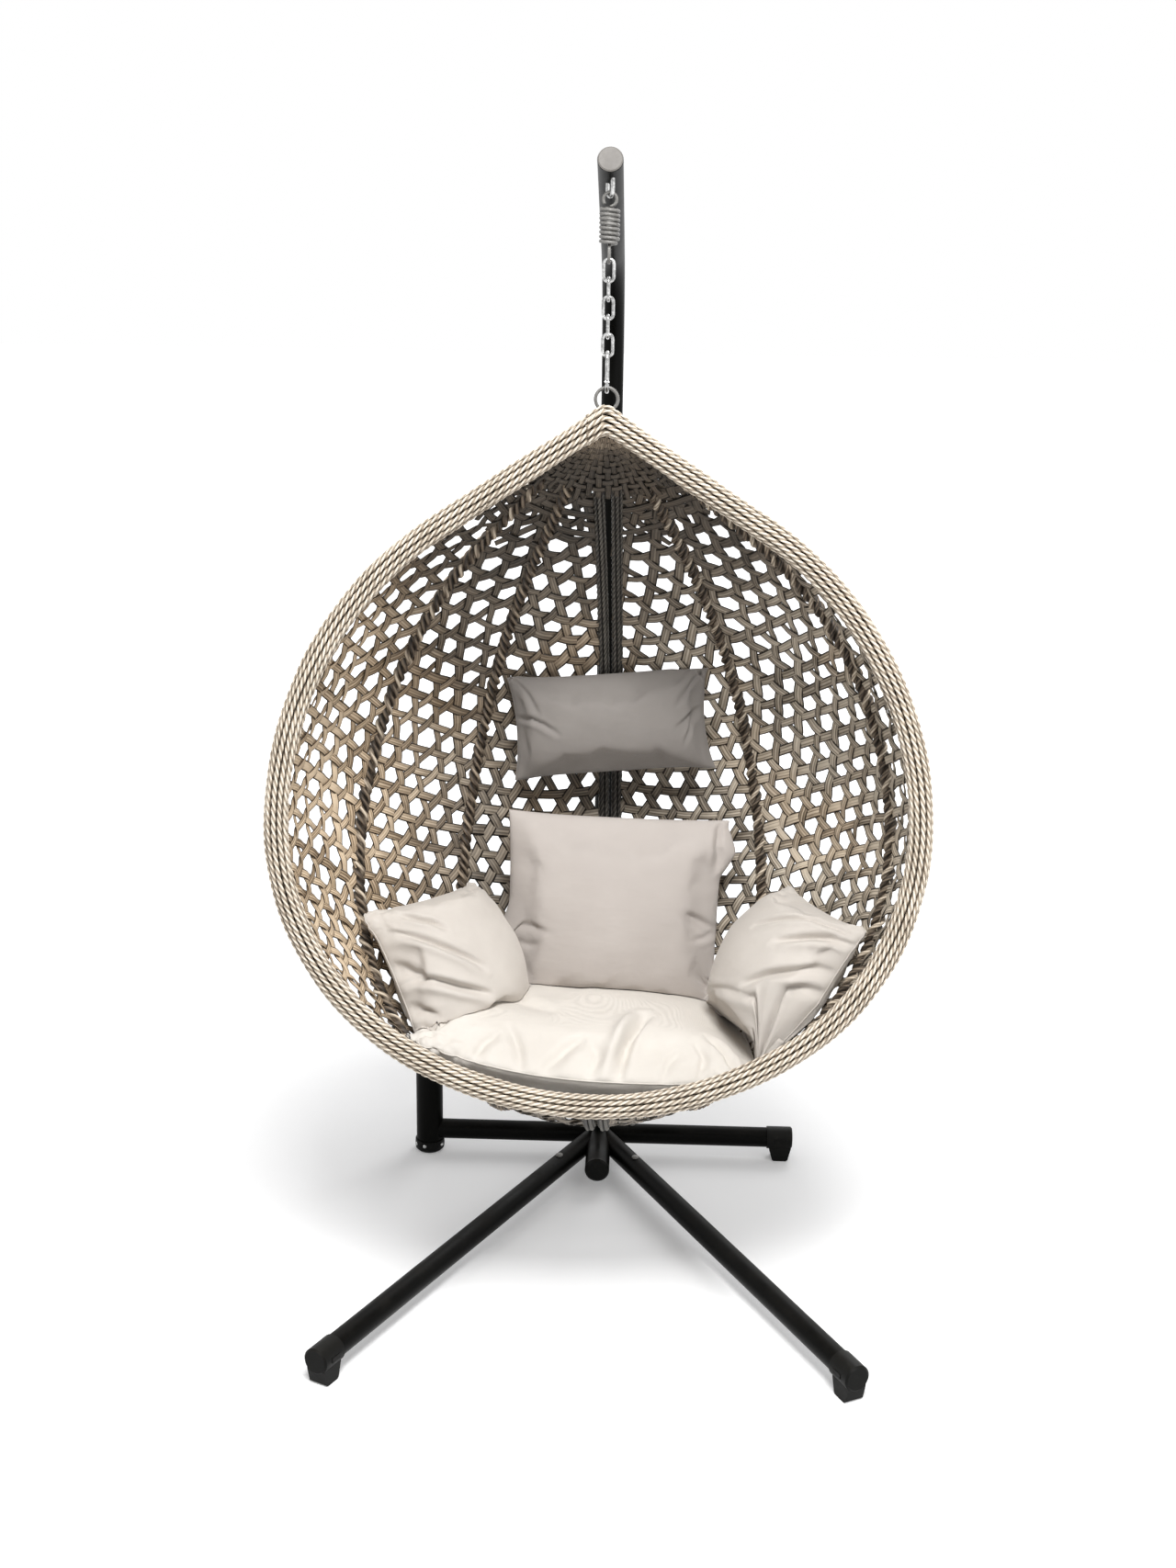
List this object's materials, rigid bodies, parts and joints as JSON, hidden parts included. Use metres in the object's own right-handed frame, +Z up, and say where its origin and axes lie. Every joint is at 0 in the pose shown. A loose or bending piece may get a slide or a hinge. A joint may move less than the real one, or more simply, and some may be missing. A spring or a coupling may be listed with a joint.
{
  "type": "hanging egg chair",
  "caption": "Hanging egg chair: a woven teardrop basket with loose cushions, hung by a spring, chain and snap hook from a bent steel stand.",
  "frame": {"origin": "on the floor, at the centre of the plan box", "axes": "+Z up; the seat faces -Y; +X is to the right of someone who faces the seat"},
  "size_m": [1.052, 0.8888, 1.9169],
  "materials": {
    "black_steel": "black powder coat, slight sheen",
    "black_plastic": "moulded, satin",
    "grey_plastic": "moulded, satin",
    "bright_zinc": "bright zinc plate",
    "spring_steel": "grey coated wire",
    "cream_rope": "twisted synthetic strip",
    "rib_rope": "twisted synthetic strip",
    "woven_strip": "ribbed flat synthetic strip",
    "cushion_cloth": "soft matt weave"
  },
  "bodies": {
    "stand": {"base_hub": "black_steel", "hub_front_cap": "black_plastic", "left_rear_arm": "black_steel", "right_rear_arm": "black_steel", "left_front_leg": "black_steel", "right_front_leg": "black_steel", "left_front_foot": "black_plastic", "right_front_foot": "black_plastic", "rear_foot": "black_plastic", "left_upright": "black_steel", "upright_plug": "black_plastic", "upright_screws": "bright_zinc", "base_bolts": "bright_zinc", "lower_pole": "black_steel", "upper_pole": "black_steel", "pole_bolts": "bright_zinc", "arm_end_cap": "grey_plastic", "arm_eye": "bright_zinc"},
    "spring": {"spring": "spring_steel"},
    "link_1": {"chain_link_1": "bright_zinc"},
    "link_2": {"chain_link_2": "bright_zinc"},
    "link_3": {"chain_link_3": "bright_zinc"},
    "link_4": {"chain_link_4": "bright_zinc"},
    "link_5": {"chain_link_5": "bright_zinc"},
    "snap_hook": {"snap_hook": "bright_zinc", "gate_pin": "bright_zinc"},
    "snap_gate": {"snap_gate": "bright_zinc"},
    "basket": {"hanging_ring": "black_steel", "rim_tube": "black_steel", "rim_rope": "cream_rope", "crown_wrap": "woven_strip", "left_outer_rib": "rib_rope", "left_inner_rib": "rib_rope", "left_spine_rib": "rib_rope", "right_spine_rib": "rib_rope", "right_inner_rib": "rib_rope", "right_outer_rib": "rib_rope", "left_front_weave": "woven_strip", "left_side_weave": "woven_strip", "left_back_weave": "woven_strip", "right_back_weave": "woven_strip", "right_side_weave": "woven_strip", "right_front_weave": "woven_strip", "seat_cushion": "cushion_cloth", "back_cushion": "cushion_cloth", "headrest": "cushion_cloth", "left_arm_cushion": "cushion_cloth", "right_arm_cushion": "cushion_cloth"}
  },
  "joints": [
    {"name": "spring_swing", "type": "hinge", "parent": "stand", "child": "spring", "pos_m": [0, -0.06056, 1.84662], "axis": [0, 1, 0], "range_deg": [-4, 4]},
    {"name": "spring_stretch", "type": "slide", "parent": "spring", "child": "link_1", "axis": [0, 0, -1], "range_m": [-0.014, 0.04], "stiffness_N_per_m": 9000, "springref_m": -0.0247, "deforming": ["spring"]},
    {"name": "link_2_swing", "type": "hinge", "parent": "link_1", "child": "link_2", "pos_m": [0, -0.06056, 1.72037], "axis": [1, 0, 0], "range_deg": [-7, 2.5]},
    {"name": "link_3_twist", "type": "hinge", "parent": "link_2", "child": "link_3", "pos_m": [0, -0.06056, 1.69217], "axis": [0, 0, 1], "range_deg": [-12, 12]},
    {"name": "link_4_twist", "type": "hinge", "parent": "link_3", "child": "link_4", "pos_m": [0, -0.06056, 1.66397], "axis": [0, 0, 1], "range_deg": [-12, 12]},
    {"name": "link_5_swing", "type": "hinge", "parent": "link_4", "child": "link_5", "pos_m": [0, -0.06056, 1.63577], "axis": [0, 1, 0], "range_deg": [-3, 3]},
    {"name": "snap_hook_swing", "type": "hinge", "parent": "link_5", "child": "snap_hook", "pos_m": [0, -0.06056, 1.60757], "axis": [1, 0, 0], "range_deg": [-7, 2.5]},
    {"name": "basket_swing", "type": "hinge", "parent": "snap_hook", "child": "basket", "pos_m": [0, -0.06056, 1.55337], "axis": [0, 1, 0], "range_deg": [-4, 4]},
    {"name": "gate_open", "type": "hinge", "parent": "snap_hook", "child": "snap_gate", "pos_m": [0, -0.07156, 1.56837], "axis": [-1, 0, 0], "range_deg": [0, 20], "stiffness_Nm_per_rad": 0.02, "springref_deg": -20.05}
  ]
}
